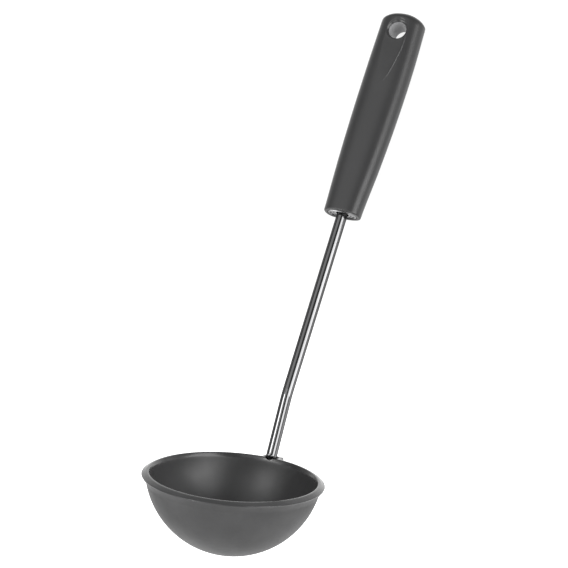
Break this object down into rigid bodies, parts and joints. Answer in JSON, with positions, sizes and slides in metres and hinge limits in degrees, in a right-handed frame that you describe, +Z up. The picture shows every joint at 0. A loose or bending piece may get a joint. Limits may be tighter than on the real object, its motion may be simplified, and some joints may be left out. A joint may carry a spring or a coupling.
{
  "type": "ladle",
  "caption": "Kitchen ladle with a dark moulded round bowl, a slim bent polished steel rod and a dark plastic grip with a hanging hole.",
  "frame": {"origin": "on the table under the middle of the ladle's bounding box, with the ladle lying on the flat underside of its boss and the back of its grip", "axes": "+X from the bowl along the rod to the end of the grip, +Y across, +Z up from the table; the ladle is mirror-symmetric about Y = 0"},
  "size_m": [0.3096, 0.09, 0.0833],
  "materials": {
    "bowl_nylon": "moulded dark grey nylon, satin, a little glossier at the lip of the rim",
    "rod_steel": "polished dark steel rod with fine lengthwise drawing lines",
    "grip_plastic": "moulded dark grey plastic, satin sheen",
    "ferrule_steel": "polished metal end plate",
    "core_plastic": "plain moulded plug, hidden inside the grip"
  },
  "bodies": {
    "root": {"bowl": "bowl_nylon", "rod": "rod_steel", "grip": "grip_plastic", "end_ferrule": "ferrule_steel", "grip_core": "core_plastic"}
  },
  "joints": []
}
